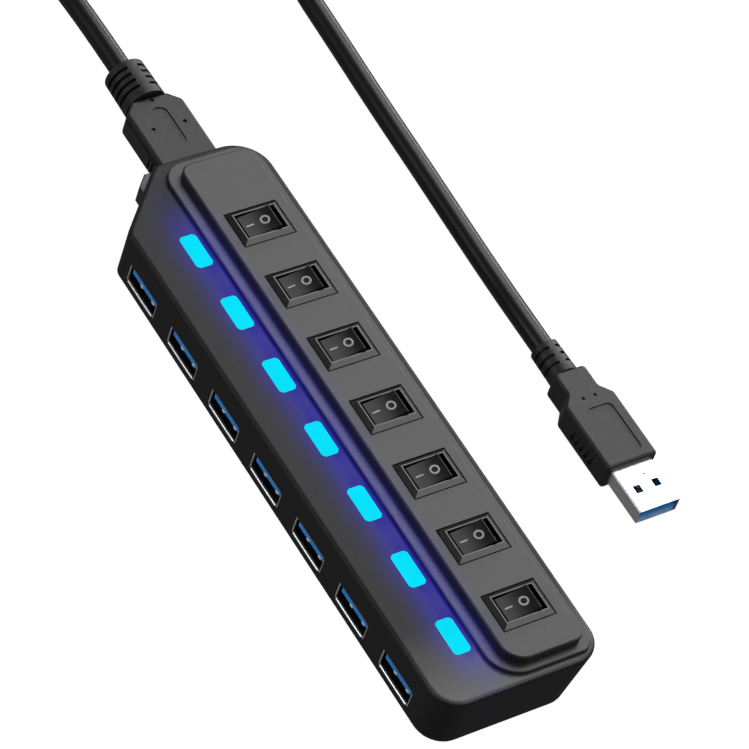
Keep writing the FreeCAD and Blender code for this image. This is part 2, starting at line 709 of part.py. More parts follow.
def uplink_socket():
    front = -S.case_half_length + 0.3
    half_y, half_z = S.uplink_width / 2, S.uplink_height / 2
    outer = box("uplink_outer", (front, S.uplink_y - half_y, S.uplink_z - half_z),
                (front + 7.0, S.uplink_y + half_y, S.uplink_z + half_z))
    wall = S.steel
    inner = box("uplink_inner", (front - PAST, S.uplink_y - half_y + wall, S.uplink_z - half_z + wall),
                (front + 5.7, S.uplink_y + half_y - wall, S.uplink_z + half_z - wall))
    tongue = box("uplink_tongue", (front + 1.0, S.uplink_y - 5.2, S.uplink_z - 0.25),
                 (front + 6.0, S.uplink_y + 5.2, S.uplink_z + 0.25))
    node("uplink_socket", join("uplink_whole", [cut("uplink_shell", outer, [inner]), tongue]))


def power_socket():
    surround = slab("inlet_surround", inlet_outline(), S.inlet_bottom, S.inlet_top)
    edges = level_edges(surround.Tip, S.inlet_top)
    fillet(surround, "inlet_surround_round", edges, 0.35)
    hole = move(rod("inlet_bore", S.inlet_hole, INLET_BORE + 1.0, (0.0, 0.0, 0.0)), INLET_FLOOR, INLET_TURN)
    whole = join("inlet_whole", [surround, inlet_block("inlet_barrel", 0.0)])
    node("power_socket", cut("inlet_cut", whole, [hole]))


def power_pin():
    pin = rod("inlet_centre_pin", S.inlet_pin, INLET_BORE - 1.0, (0.0, 0.0, 0.0))
    node("power_pin", move(pin, INLET_FLOOR, INLET_TURN))


# ---- the lead -----------------------------------------------------------------


HUB_DIMPLES = ((-95.7, 2.6), (-95.6, 11.5), (-104.25, 6.9))


def hub_plug_body():
    half = S.hub_plug_width / 2
    rear, front = S.hub_plug_far, S.hub_plug_near
    low_y, high_y = S.uplink_y - half, S.uplink_y + half
    low_z = S.uplink_z - S.hub_plug_height / 2
    high_z = S.uplink_z + S.hub_plug_height / 2
    slope = 3.0
    corners = [(rear, low_y + slope), (rear + slope, low_y), (front, low_y), (front, high_y),
               (rear + slope, high_y), (rear, high_y - slope)]
    grip = slab("hub_grip", corners, low_z, high_z, (1.2, 1.8, None, None, 1.8, 1.2), 0.7, 0.7)
    badge = slab("hub_badge", centred(rear + 10.2, S.uplink_y, 13.0, 4.6), high_z - 0.3, high_z + PAST, 2.2)
    tools = [badge]
    for x, y in HUB_DIMPLES:
        tools.append(rod(f"hub_dimple{len(tools)}", 0.55, 1.5, (x, y, high_z - 0.5)))
    for side in (-1, 1):
        y = S.uplink_y + half * side
        tools.append(box(f"hub_seam{side + 1}", (rear + 3.5, y - 0.3, high_z - 2.1),
                         (front - 1.0, y + 0.3, high_z - 1.7)))
        for rib in range(4):
            x = front - 2.2 - rib * 1.5
            tools.append(box(f"hub_rib{side + 1}{rib}", (x - 0.7, y - 0.4, low_z + 1.2),
                             (x, y + 0.4, high_z - 2.8)))
    node("hub_plug_body", cut("hub_plug_cut", grip, tools))


def hub_plug_shell():
    half_y, half_z = S.plug_steel_width / 2, S.plug_steel_height / 2
    near = S.hub_plug_near
    outer = box("hub_steel_outer", (near, S.uplink_y - half_y, S.uplink_z - half_z),
                (near + S.plug_steel_length, S.uplink_y + half_y, S.uplink_z + half_z))
    inner = box("hub_steel_inner", (near + 1.0, S.uplink_y - half_y + 0.25, S.uplink_z - half_z + 0.25),
                (near + BIG, S.uplink_y + half_y - 0.25, S.uplink_z + half_z - 0.25))
    node("hub_plug_shell", cut("hub_steel", outer, [inner]))


def slotted_relief(name, start, end, y, z, radius_start, radius_end, slots, strip):
    """A round strain relief with slots on both sides and plain strips above and below."""
    length = end - start
    body = cone(name + "_cone", radius_start, radius_end, length, (start, y, z))
    rings = []
    first, pitch, width, depth = slots
    count = int((length.value - first) / pitch)
    for index in range(count):
        x = start + first + pitch * index
        outer = rod(f"{name}_ring{index}", radius_start + 1.0, width, (x, y, z), "x")
        middle = radius_start + (radius_end - radius_start) * ((first + pitch * index) / length.value)
        core = rod(f"{name}_core{index}", middle - depth, width + PAST, (x - PAST / 2, y, z), "x")
        rings.append(cut(f"{name}_slot{index}", outer, [core]))
    keep = box(name + "_strip", (start, y - strip, z - BIG), (end, y + strip, z + BIG))
    side_tools = cut(name + "_side_slots", join(name + "_slots", rings), [keep])
    return cut(name + "_slotted", body, [side_tools])


def hub_strain_relief():
    relief = slotted_relief("hub_relief", S.hub_relief_far, S.hub_plug_far, S.uplink_y, S.uplink_z,
                            S.hub_relief_slim, S.hub_relief_wide, (1.7, 2.1, 0.85, 1.0), 1.4)
    node("hub_strain_relief", relief)


def usb_strain_relief():
    relief = slotted_relief("usb_relief", S.usb_relief_x, S.usb_neck_x, S.usb_y, S.usb_z,
                            S.usb_relief_slim, S.usb_relief_wide - 0.25, (1.6, 2.4, 0.8, 0.6), 0.9)
    node("usb_strain_relief", relief)


USB_DIMPLES = (-1.6, 1.9)   # how far to each side the two dimples on the plug's top stand
USB_HOLES = ((40.1, 62.4), (39.9, 67.9))
GROOVE_WIDTH = 0.9
GROOVE_HEIGHT = 3.6
GROOVE_TILT = 20.0


def usb_plug_body():
    neck, wide = S.usb_neck_width / 2, S.usb_wide_width / 2
    y = S.usb_y
    corners = [(S.usb_neck_x, y - neck), (S.usb_shoulder_x, y - neck), (S.usb_wide_x, y - wide),
               (S.usb_body_end, y - wide), (S.usb_body_end, y + wide), (S.usb_wide_x, y + wide),
               (S.usb_shoulder_x, y + neck), (S.usb_neck_x, y + neck)]
    low_z = S.usb_z - S.usb_body_height / 2
    high_z = S.usb_z + S.usb_body_height / 2
    grip = slab("usb_grip", corners, low_z, high_z, (1.2, 1.5, 1.5, 0.8, 0.8, 1.5, 1.5, 1.2), 0.9, 0.9)
    badge = slab("usb_badge", rectangle(S.usb_wide_x + 2.6, S.usb_body_end - 2.3, y - 3.0, y + 4.45),
                 high_z - 0.3, high_z + PAST, 1.6)
    tools = [badge]
    for side in USB_DIMPLES:
        tools.append(rod(f"usb_dimple{len(tools)}", 0.45, 1.5, (S.usb_wide_x - 0.5, y + side, high_z - 0.5)))
    for side in (-1, 1):
        for rib in range(5):
            x = S.usb_wide_x + 5.0 + rib * 2.0
            groove = box(f"usb_groove{side + 1}{rib}", (0.0, 0.0, 0.0),
                         (GROOVE_WIDTH, GROOVE_WIDTH, GROOVE_HEIGHT))
            foot = Vector(x.value, (y + wide * side).value - GROOVE_WIDTH / 2,
                          S.usb_z.value - GROOVE_HEIGHT / 2)
            tools.append(move(groove, foot, Rotation(Vector(0, 1, 0), GROOVE_TILT)))
    node("usb_plug_body", cut("usb_plug_cut", grip, tools))


def facing_tip(body):
    """Stand a slab up so that its own Z runs along +X and its own X along +Y."""
    body.Placement = FreeCAD.Placement(Vector(S.usb_body_end.value, S.usb_y.value, S.usb_z.value),
                                       Rotation(Vector(0, 1, 0), Vector(0, 0, 1), Vector(1, 0, 0), "ZXY"))
    return body


def usb_plug_shell():
    length = S.usb_tip_x - S.usb_body_end
    wide, tall = S.usb_shell_width, S.usb_shell_height
    outer = facing_tip(slab("usb_steel_outer", centred(0.0, 0.0, wide, tall), 0.0, length, 0.5))
    inner = facing_tip(slab("usb_steel_inner", centred(0.0, 0.0, wide - S.steel * 2, tall - S.steel * 2),
                            1.0, length + PAST, 0.2))
    tools = [inner]
    for x, y in USB_HOLES:
        for z in (S.usb_z + 1.0, S.usb_z - 3.0):
            tools.append(box(f"usb_window{len(tools)}", (x - 1.15, y - 1.0, z), (x + 1.15, y + 1.0, z + 2.0)))
    tools.append(rod("usb_dot", 0.3, 2.0, (36.7, 66.3, S.usb_z + 1.0)))
    node("usb_plug_shell", cut("usb_steel", outer, tools))


def usb_plug_insulator():
    half = S.usb_shell_width / 2 - S.steel
    low_z = S.usb_z - S.usb_shell_height / 2 + S.steel + 0.07
    block = slab("usb_core", rectangle(S.usb_body_end + 1.0, S.usb_tip_x - 0.4,
                                       S.usb_y - half + 0.05, S.usb_y + half - 0.05),
                 low_z, low_z + 1.85)
    back = box("usb_core_back", (S.usb_body_end + 1.0, S.usb_y - half + 0.2, low_z),
               (S.usb_body_end + 3.2, S.usb_y + half - 0.2, S.usb_z + S.usb_shell_height / 2 - S.steel))
    node("usb_plug_insulator", join("usb_core_whole", [block, back]))


def usb_plug_contacts():
    top = S.usb_z - S.usb_shell_height / 2 + S.steel + 0.07 + 1.85
    strips = [box(f"usb_strip{index}", (S.usb_tip_x - 9.0, S.usb_y + side - 0.5, top),
                  (S.usb_tip_x - 1.6, S.usb_y + side + 0.5, top + 0.12))
              for index, side in enumerate((-3.5, -1.0, 1.0, 3.5))]
    node("usb_plug_contacts", group("usb_strips", strips))


# the cord's route, chosen by hand: out of the case plug, down to the table,
# one turn back, and a nearly straight run to the other plug
CORD_ROUTE = [
    (-116.8, 6.8, 7.5), (-130.0, 6.8, 7.5), (-145.5, 6.6, 7.0), (-161.5, 6.8, 5.0),
    (-178.0, 10.6, 2.9), (-192.5, 22.5, 2.9), (-199.0, 43.0, 2.9), (-192.5, 63.0, 2.9),
    (-177.0, 75.5, 2.9), (-156.5, 77.0, 2.9), (-136.0, 69.0, 2.9), (-114.0, 68.3, 2.9),
    (-89.0, 67.3, 2.9), (-66.0, 66.8, 2.9), (-45.0, 66.1, 2.9), (-28.0, 65.7, 2.9),
    (-16.5, 64.9, 4.0), (-6.0, 64.9, 4.0),
]


def lead_cord():
    """Straight runs joined by tangent arcs, each arc as large as its two runs allow."""
    points = [Vector(*point) for point in CORD_ROUTE]
    edges = []
    length = 0.0
    start = points[0]
    for before, corner, after in zip(points, points[1:], points[2:]):
        into = (corner - before).normalize()
        out = (after - corner).normalize()
        half_turn = into.getAngle(out) / 2
        reach = 0.45 * min((corner - before).Length, (after - corner).Length)
        radius = reach / math.tan(half_turn)
        begin, end = corner - into * reach, corner + out * reach
        towards = (out - into).normalize()
        middle = corner + towards * (radius / math.cos(half_turn) - radius)
        edges.append(Part.LineSegment(start, begin).toShape())
        edges.append(Part.Arc(begin, middle, end).toShape())
        length += (begin - start).Length + radius * half_turn * 2
        start = end
        print(f"cord radius at {corner.x:.0f},{corner.y:.0f}: {radius:.0f} mm")
    edges.append(Part.LineSegment(start, points[-1]).toShape())
    length += (points[-1] - start).Length
    radius = S.cord_diameter.value / 2
    ring = Part.Wire(Part.makeCircle(radius, points[0], points[1] - points[0]))
    tube = Part.Wire(edges).makePipeShell([ring], True, False, 0)
    expected = math.pi * radius ** 2 * length
    print(f"cord length {length:.1f} mm, volume {tube.Volume:.0f} against {expected:.0f} mm3")
    if abs(tube.Volume - expected) > 0.01 * expected:
        raise RuntimeError("the cord's tube has the wrong volume")
    cord = doc.addObject("Part::Feature", "cord")
    cord.Shape = tube
    node("lead_cord", cord)


# ---- build and write ---------------------------------------------------------

upper_shell()
lower_shell()
rubber_feet()
case_screws()
switch_panel()
circuit_board()
hub_chips()
switch_terminals()
status_leds()
port_contacts()
for port in PORTS:
    switch_body(port)
    rocker(port)
    light_window(port)
    port_shell(port)
    port_tongue(port)
uplink_socket()
power_socket()
power_pin()
hub_plug_body()
hub_plug_shell()
hub_strain_relief()
usb_strain_relief()
usb_plug_body()
usb_plug_shell()
usb_plug_insulator()
usb_plug_contacts()
lead_cord()
doc.recompute()

for thing in doc.Objects:
    if "Invalid" in thing.State or "Error" in thing.State:
        raise RuntimeError(f"{thing.Name} failed: {thing.State}")

os.makedirs("parts", exist_ok=True)
for label, piece in nodes.items():
    if piece.Shape.isNull() or not piece.Shape.isValid() or piece.Shape.Volume <= 0:
        raise RuntimeError(f"{label} has no valid solid")
    piece.Shape.exportStep(f"parts/{label}.step")
print(len(nodes), "nodes written")
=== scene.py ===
import json
import math

import bmesh
import bpy
from mathutils import Matrix, Vector


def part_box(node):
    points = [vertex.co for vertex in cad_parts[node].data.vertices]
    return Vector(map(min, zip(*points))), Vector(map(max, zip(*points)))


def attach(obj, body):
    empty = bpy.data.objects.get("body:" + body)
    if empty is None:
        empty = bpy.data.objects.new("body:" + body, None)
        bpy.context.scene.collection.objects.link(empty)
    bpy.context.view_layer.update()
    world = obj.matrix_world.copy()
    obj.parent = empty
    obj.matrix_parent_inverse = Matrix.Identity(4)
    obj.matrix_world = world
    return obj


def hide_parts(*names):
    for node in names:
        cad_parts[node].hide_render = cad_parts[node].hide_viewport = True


# Looks for a seven-port USB hub with rocker switches and a plug-in lead.
# Metres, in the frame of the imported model: +X along the case, away from the
# lead, -Y out of the port face, +Z up, the table at zero.

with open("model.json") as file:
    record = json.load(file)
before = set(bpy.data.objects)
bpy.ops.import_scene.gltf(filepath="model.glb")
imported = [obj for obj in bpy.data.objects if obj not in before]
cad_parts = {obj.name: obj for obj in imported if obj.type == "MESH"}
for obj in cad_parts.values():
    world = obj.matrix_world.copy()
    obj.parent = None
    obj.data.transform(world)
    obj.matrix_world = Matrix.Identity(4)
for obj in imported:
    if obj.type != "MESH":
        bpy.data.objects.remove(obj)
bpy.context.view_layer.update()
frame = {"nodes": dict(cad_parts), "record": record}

MM = 0.001
PORTS = range(1, 8)
NODES = frame["nodes"]
PORT_FACE_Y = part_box("upper_shell")[0].y


def middle(node):
    """The centre of a node's box, at rest."""
    low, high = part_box(node)
    return (low + high) / 2


# ---- camera ------------------------------------------------------------------

CAMERA_PLACE = Vector((0.4830, -0.5146, 0.8381))
CAMERA_BACK = Vector((0.4485, -0.4825, 0.7524)).normalized()
CAMERA_ROLL = math.radians(20.852)
CAMERA_LENS = 222.5     # millimetres, on a sensor 36 mm wide
CAMERA_SENSOR = 36.0
NEAREST_SEEN = 0.05
FARTHEST_SEEN = 20.0


def make_camera():
    """The photograph's camera: a long lens above the near end, rolled."""
    data = bpy.data.cameras.new("camera")
    data.lens = CAMERA_LENS
    data.sensor_width = CAMERA_SENSOR
    data.clip_start = NEAREST_SEEN
    data.clip_end = FARTHEST_SEEN
    camera = bpy.data.objects.new("camera", data)
    bpy.context.scene.collection.objects.link(camera)
    level = Vector((0, 0, 1)).cross(CAMERA_BACK).normalized()
    upright = CAMERA_BACK.cross(level)
    right = level * math.cos(CAMERA_ROLL) + upright * math.sin(CAMERA_ROLL)
    up = upright * math.cos(CAMERA_ROLL) - level * math.sin(CAMERA_ROLL)
    turn = Matrix((right, up, CAMERA_BACK)).transposed()
    camera.matrix_world = Matrix.Translation(CAMERA_PLACE) @ turn.to_4x4()
    bpy.context.scene.camera = camera


make_camera()

# ---- the cord ------------------------------------------------------------------

CORD_DIAMETER = 5.8 * MM
CORD_ROUTE = [
    (-0.1168, 0.0068, 0.0075), (-0.1300, 0.0068, 0.0075), (-0.1455, 0.0066, 0.0070),
    (-0.1615, 0.0068, 0.0050), (-0.1780, 0.0106, 0.0029), (-0.1925, 0.0225, 0.0029),
    (-0.1990, 0.0430, 0.0029), (-0.1925, 0.0630, 0.0029), (-0.1770, 0.0755, 0.0029),
    (-0.1565, 0.0770, 0.0029), (-0.1360, 0.0690, 0.0029), (-0.1140, 0.0683, 0.0029),
    (-0.0890, 0.0673, 0.0029), (-0.0660, 0.0668, 0.0029), (-0.0450, 0.0661, 0.0029),
    (-0.0280, 0.0657, 0.0029), (-0.0165, 0.0649, 0.0040), (-0.0060, 0.0649, 0.0040),
]
CORD_STEPS = 16         # along each span of the route
CORD_ROUNDNESS = 8


def make_cord():
    """The lead's jacket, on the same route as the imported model's solid cord."""
    curve = bpy.data.curves.new("cord", "CURVE")
    curve.dimensions = "3D"
    line = curve.splines.new("NURBS")
    line.points.add(len(CORD_ROUTE) - 1)
    for point, place in zip(line.points, CORD_ROUTE):
        point.co = (*place, 1.0)
        point.radius = CORD_DIAMETER / 2
    line.order_u = 3
    line.use_endpoint_u = True
    line.resolution_u = CORD_STEPS
    curve.bevel_depth = 1.0     # times each point's radius
    curve.bevel_resolution = CORD_ROUNDNESS
    curve.use_fill_caps = True
    cord = bpy.data.objects.new("cord", curve)
    bpy.context.scene.collection.objects.link(cord)
    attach(cord, "root")
    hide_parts("lead_cord")
    return cord


cord = make_cord()

# ---- materials -----------------------------------------------------------------


NOISE_LOW = 0.3                 # noise seldom leaves this range
NOISE_HIGH = 0.7
MIX_COLOURS_IN = (6, 7)         # the Mix node's two colour sockets
MIX_COLOUR_OUT = 2


class Paint:
    """A node material built step by step around one Principled shader."""

    def __init__(self, name, colour, roughness, specular=0.5, metallic=0.0):
        self.material = bpy.data.materials.new(name)
        self.material.use_nodes = True
        self.nodes = self.material.node_tree.nodes
        self.links = self.material.node_tree.links
        self.inputs = self.nodes["Principled BSDF"].inputs
        self.inputs["Base Color"].default_value = (*colour, 1.0)
        self.inputs["Roughness"].default_value = roughness
        self.inputs["Specular IOR Level"].default_value = specular
        self.inputs["Metallic"].default_value = metallic
        self.colour = colour
        self.roughness = roughness
        self.place = self.nodes.new("ShaderNodeTexCoord").outputs["Object"]

    def noise(self, scale, detail=2.0, stretch=(1.0, 1.0, 1.0)):
        place = self.place
        if stretch != (1.0, 1.0, 1.0):
            mapping = self.nodes.new("ShaderNodeMapping")
            mapping.inputs["Scale"].default_value = stretch
            self.links.new(place, mapping.inputs["Vector"])
            place = mapping.outputs["Vector"]
        noise = self.nodes.new("ShaderNodeTexNoise")
        noise.inputs["Scale"].default_value = scale
        noise.inputs["Detail"].default_value = detail
        self.links.new(place, noise.inputs["Vector"])
        return noise.outputs["Fac"]

    def ranged(self, value, low, high, from_low=NOISE_LOW, from_high=NOISE_HIGH):
        """Value moved from from_low..from_high to low..high, and kept inside it."""
        spread = self.nodes.new("ShaderNodeMapRange")
        numbers = {"From Min": from_low, "From Max": from_high, "To Min": low, "To Max": high}
        for socket, number in numbers.items():
            spread.inputs[socket].default_value = number
        self.links.new(value, spread.inputs["Value"])
        return spread.outputs["Result"]

    def blend(self, factor, first, second):
        mix = self.nodes.new("ShaderNodeMix")
        mix.data_type = "RGBA"
        self.links.new(factor, mix.inputs["Factor"])
        for socket, colour in zip(MIX_COLOURS_IN, (first, second)):
            if isinstance(colour, bpy.types.NodeSocket):
                self.links.new(colour, mix.inputs[socket])
            else:
                mix.inputs[socket].default_value = (*colour, 1.0)
        return mix.outputs[MIX_COLOUR_OUT]

    def sums(self, operation, first, second):
        """One step of arithmetic on sockets or numbers."""
        node = self.nodes.new("ShaderNodeMath")
        node.operation = operation
        for socket, value in enumerate((first, second)):
            if isinstance(value, bpy.types.NodeSocket):
                self.links.new(value, node.inputs[socket])
            else:
                node.inputs[socket].default_value = value
        return node.outputs[0]

    def parts(self, vector):
        split = self.nodes.new("ShaderNodeSeparateXYZ")
        self.links.new(vector, split.inputs[0])
        return split.outputs

    def facing_up(self, low, high, none, full):
        """From low to high as the surface's upward lean goes from none to full."""
        normal = self.nodes.new("ShaderNodeNewGeometry").outputs["Normal"]
        return self.ranged(self.parts(normal)["Z"], low, high, none, full)

    def vary_colour(self, scale, amount):
        darker = tuple(part * (1.0 - amount) for part in self.colour)
        lighter = tuple(part * (1.0 + amount) for part in self.colour)
        factor = self.ranged(self.noise(scale), 0.0, 1.0)
        self.tint = self.blend(factor, darker, lighter)
        self.links.new(self.tint, self.inputs["Base Color"])
        return self

    def vary_roughness(self, scale, amount):
        low, high = self.roughness - amount, self.roughness + amount
        self.links.new(self.ranged(self.noise(scale), low, high), self.inputs["Roughness"])
        return self

    def bump(self, height, depth, strength=1.0):
        bump = self.nodes.new("ShaderNodeBump")
        bump.inputs["Strength"].default_value = strength
        bump.inputs["Distance"].default_value = depth
        self.links.new(height, bump.inputs["Height"])
        self.links.new(bump.outputs["Normal"], self.inputs["Normal"])
        return self


GRAIN_DETAIL = 3.0
MOTTLE = (700.0, 0.08)          # scale and amount of the plastic's colour change
UNEVEN_GLOSS = (1500.0, 0.02)


def moulded(name, colour, roughness, grain=2600.0, depth=0.02 * MM, specular=0.5):
    """Spark-eroded moulded plastic: a fine even grain that also breaks up the gloss."""
    paint = Paint(name, colour, roughness, specular)
    paint.vary_colour(*MOTTLE).vary_roughness(*UNEVEN_GLOSS)
    return paint.bump(paint.noise(grain, GRAIN_DETAIL), depth)


WINDOW_ROW_Y = -9.5 * MM
RISER_GLOW = 0.12               # share of the glow on what doesn't face up
RISER_LEAN = (0.2, 0.9)
GLOW_DULLS = 0.95               # lit plastic loses its grey sheen


def glow(paint, tone, reach, strength):
    """Light that the status windows throw on the plastic round them, most on what faces up.

    reach holds how far it carries along X and along Y, and how far its middle
    lies behind the row of windows.
    """
    place = paint.parts(paint.place)
    upward = paint.facing_up(RISER_GLOW, 1.0, *RISER_LEAN)
    middle_y = WINDOW_ROW_Y + reach[2]
    total = None
    for number in PORTS:
        lamp_x = middle(f"light_window_{number}").x
        away = []
        for axis, centre, spread in (("X", lamp_x, reach[0]), ("Y", middle_y, reach[1])):
            scaled = paint.sums("DIVIDE", paint.sums("SUBTRACT", place[axis], centre), spread)
            away.append(paint.sums("MULTIPLY", scaled, scaled))
        distance = paint.sums("ADD", *away)
        fall = paint.sums("POWER", math.e, paint.sums("MULTIPLY", distance, -1.0))
        total = fall if total is None else paint.sums("ADD", total, fall)
    level = paint.sums("MULTIPLY", paint.sums("MULTIPLY", total, upward), strength)
    paint.inputs["Emission Color"].default_value = (*tone, 1.0)
    paint.links.new(level, paint.inputs["Emission Strength"])
    roughness = paint.inputs["Roughness"]
    plain = roughness.links[0].from_socket
    dulled = paint.sums("MAXIMUM", plain, paint.sums("MULTIPLY", level, GLOW_DULLS))
    paint.links.new(dulled, roughness)
    return paint


# The case top's painted sheen: on faces that lean up this far, growing along X between these two
# places.
TOP_LEAN = (0.6, 0.95)
PAINTED_SHEEN_FROM_X = 60 * MM
PAINTED_SHEEN_FULL_X = 80 * MM


def painted_sheen_near_end(paint, colour, roughness):
    """Painted sheen: the upper case's top is painted lighter towards its near end, and made
    smoother there.
    """
    upward = paint.facing_up(0.0, 1.0, *TOP_LEAN)
    along = paint.ranged(paint.parts(paint.place)["X"], 0.0, 1.0, PAINTED_SHEEN_FROM_X, PAINTED_SHEEN_FULL_X)
    factor = paint.sums("MULTIPLY", upward, along)
    # Painted highlight: the top's colour is blended towards the lighter sheen colour.
    paint.links.new(paint.blend(factor, paint.tint, colour), paint.inputs["Base Color"])
    value = paint.ranged(factor, paint.roughness, roughness, 0.0, 1.0)
    paint.links.new(value, paint.inputs["Roughness"])
    return paint


STREAKS = 900.0
STREAK_DEPTH = 0.004 * MM
STREAK_STRENGTH = 0.5
STREAK_SMOOTHER = 0.08
STREAK_ROUGHER = 0.1


def steel(name, colour, roughness, stretch, metallic=1.0):
    """Drawn sheet metal: streaks along the axis with the smallest stretch."""
    paint = Paint(name, colour, roughness, metallic=metallic)
    streaks = paint.noise(STREAKS, GRAIN_DETAIL, stretch)
    value = paint.ranged(streaks, roughness - STREAK_SMOOTHER, roughness + STREAK_ROUGHER)
    paint.links.new(value, paint.inputs["Roughness"])
    return paint.bump(streaks, STREAK_DEPTH, STREAK_STRENGTH)


SHADE_STARTS = 0.35 * MM        # behind the port face
SHADE_FULL = 0.7 * MM
SHADE = (0.012, 0.012, 0.013)


def shaded_inside(paint):
    """The receptacle's steel is bright at its mouth and dark within."""
    y = paint.parts(paint.place)["Y"]
    depth = paint.ranged(y, 0.0, 1.0, PORT_FACE_Y + SHADE_STARTS, PORT_FACE_Y + SHADE_FULL)
    paint.links.new(paint.blend(depth, paint.colour, SHADE), paint.inputs["Base Color"])
    return paint


WINDOW_BODY = (0.0, 0.01, 0.015)
WINDOW_LIGHT = (0.003, 0.78, 1.0, 1.0)
WINDOW_CLOUDS = 90.0
WINDOW_DIMMEST = 0.93


def lit_window(name):
    """A diffuser lit from behind, very slightly uneven."""
    paint = Paint(name, WINDOW_BODY, 0.5, 0.0)
    shade = paint.ranged(paint.noise(WINDOW_CLOUDS), WINDOW_DIMMEST, 1.0)
    paint.links.new(shade, paint.inputs["Emission Strength"])
    paint.inputs["Emission Color"].default_value = WINDOW_LIGHT
    return paint


BLACK = (0.006, 0.006, 0.0065)
CASE_BLACK = (0.008, 0.008, 0.0085)
# painted sheen colour for the top of the case's near end
CASE_PAINTED_SHEEN = (0.07, 0.07, 0.07)
PANEL_GREY = (0.016, 0.016, 0.0165)
CASE_GLOW = (0.014, 0.008, 0.38)
PANEL_GLOW = (0.012, 0.008, 0.36)
CASE_GLOW_REACH = (10.5 * MM, 5.2 * MM, 1.2 * MM)
PANEL_GLOW_REACH = (11.0 * MM, 4.6 * MM, 1.0 * MM)

case_plastic = moulded("case_plastic", CASE_BLACK, 0.56, specular=0.3)
panel_plastic = moulded("panel_plastic", PANEL_GREY, 0.46)
port_steel = steel("port_steel", (0.8, 0.81, 0.83), 0.34, (1.0, 0.1, 1.0), 0.5)

MATERIALS = {
    "case": glow(painted_sheen_near_end(case_plastic, CASE_PAINTED_SHEEN, 0.38), CASE_GLOW, CASE_GLOW_REACH, 0.8),
    "panel": glow(panel_plastic, PANEL_GLOW, PANEL_GLOW_REACH, 0.85),
    "bezel": moulded("bezel_plastic", BLACK, 0.2, 1500.0, 0.003 * MM, 0.45),
    "rocker": moulded("rocker_plastic", BLACK, 0.24, 2200.0, 0.004 * MM, 0.16),
    "light": lit_window("window_lit"),
    "port_steel": shaded_inside(port_steel),
    "plug_steel": steel("plug_steel", (0.66, 0.66, 0.68), 0.3, (0.1, 1.0, 1.0), 0.9),
    "tongue": moulded("tongue_blue", (0.03, 0.32, 0.85), 0.35, 1800.0, 0.006 * MM),
    "contacts": steel("contact_gold", (0.9, 0.8, 0.55), 0.25, (1.0, 0.2, 1.0)),
    "board": moulded("board_green", (0.01, 0.09, 0.03), 0.4),
    "chips": moulded("chip_black", (0.02, 0.02, 0.02), 0.6),
    "screws": steel("screw_steel", (0.5, 0.5, 0.52), 0.35, (1.0, 1.0, 0.3)),
    "feet": moulded("foot_rubber", (0.02, 0.02, 0.02), 0.8, 1500.0, 0.04 * MM),
    "grip": moulded("grip_plastic", (0.009, 0.009, 0.0095), 0.5, 1400.0, 0.05 * MM, 0.42),
    "cord": moulded("cord_jacket", (0.006, 0.006, 0.0065), 0.34, 1800.0, 0.01 * MM, 0.3),
    "inlet": moulded("inlet_plastic", (0.008, 0.008, 0.008), 0.4),
}


def dress(thing, slot):
    thing.data.materials.clear()
    thing.data.materials.append(MATERIALS[slot].material)


for part in frame["record"]["subparts"]:
    dress(NODES[part["node"]], part["material_slot"])
dress(cord, "cord")

# ---- marks inked on the rockers ---------------------------------------------------

ROCKER_TILT = math.radians(10.3)
PIVOT_Y = 7.65 * MM
PIVOT_Z = 17.2 * MM
FACE_HEIGHT = 3.0 * MM          # the hollow's lowest line, above the pivot
HOLLOW_RADIUS = 38.4 * MM
INK = 0.03 * MM
BAR_AT = -2.39 * MM             # along the face, from above the pivot
BAR_LENGTH = 2.1 * MM
BAR_HALF_WIDTH = 0.2 * MM
BAR_END_SHARE = 0.6             # of the width, so that the ends look rounded
BAR_STEPS = 10
RING_AT = 1.67 * MM
RING_RADII = (0.78 * MM, 1.0 * MM, 1.24 * MM)
RING_STEPS = 48

MARK_PAINT = Paint("mark_grey", (0.36, 0.36, 0.36), 0.5, 0.2).vary_colour(900.0, 0.1)


def face_point(x, along, lift):
    """A point on a rocker's hollow face as it lies at rest, raised by lift."""
    height = FACE_HEIGHT + along * along / (2 * HOLLOW_RADIUS) + lift
    turned = Matrix.Rotation(ROCKER_TILT, 3, "X") @ Vector((0.0, along, height))
    return Vector((x, PIVOT_Y + turned.y, PIVOT_Z + turned.z))


def strip_mesh(rows, closed):
    """A thin closed skin through rows of (x, along) pairs, inked onto the face."""
    mesh = bmesh.new()
    layers = []
    for lift in (-INK, INK):
        layers.append([[mesh.verts.new(face_point(x, along, lift)) for x, along in row]
                       for row in rows])
    count = len(rows)
    width = len(rows[0])
    for index in range(count if closed else count - 1):
        follow = (index + 1) % count
        for column in range(width - 1):
            for layer, flip in ((layers[1], False), (layers[0], True)):
                corners = [layer[index][column], layer[follow][column],
                           layer[follow][column + 1], layer[index][column + 1]]
                mesh.faces.new(corners[::-1] if flip else corners)
        for column in (0, width - 1):
            mesh.faces.new([layers[0][index][column], layers[0][follow][column],
                            layers[1][follow][column], layers[1][index][column]])
    if not closed:
        for index in (0, count - 1):
            for column in range(width - 1):
                mesh.faces.new([layers[0][index][column], layers[0][index][column + 1],
                                layers[1][index][column + 1], layers[1][index][column]])
    bmesh.ops.recalc_face_normals(mesh, faces=mesh.faces)
    return mesh


def add_piece(name, mesh, body, paint):
    data = bpy.data.meshes.new(name)
    mesh.to_mesh(data)
    mesh.free()
    thing = bpy.data.objects.new(name, data)
    bpy.context.scene.collection.objects.link(thing)
    data.materials.append(paint.material)
    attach(thing, body)


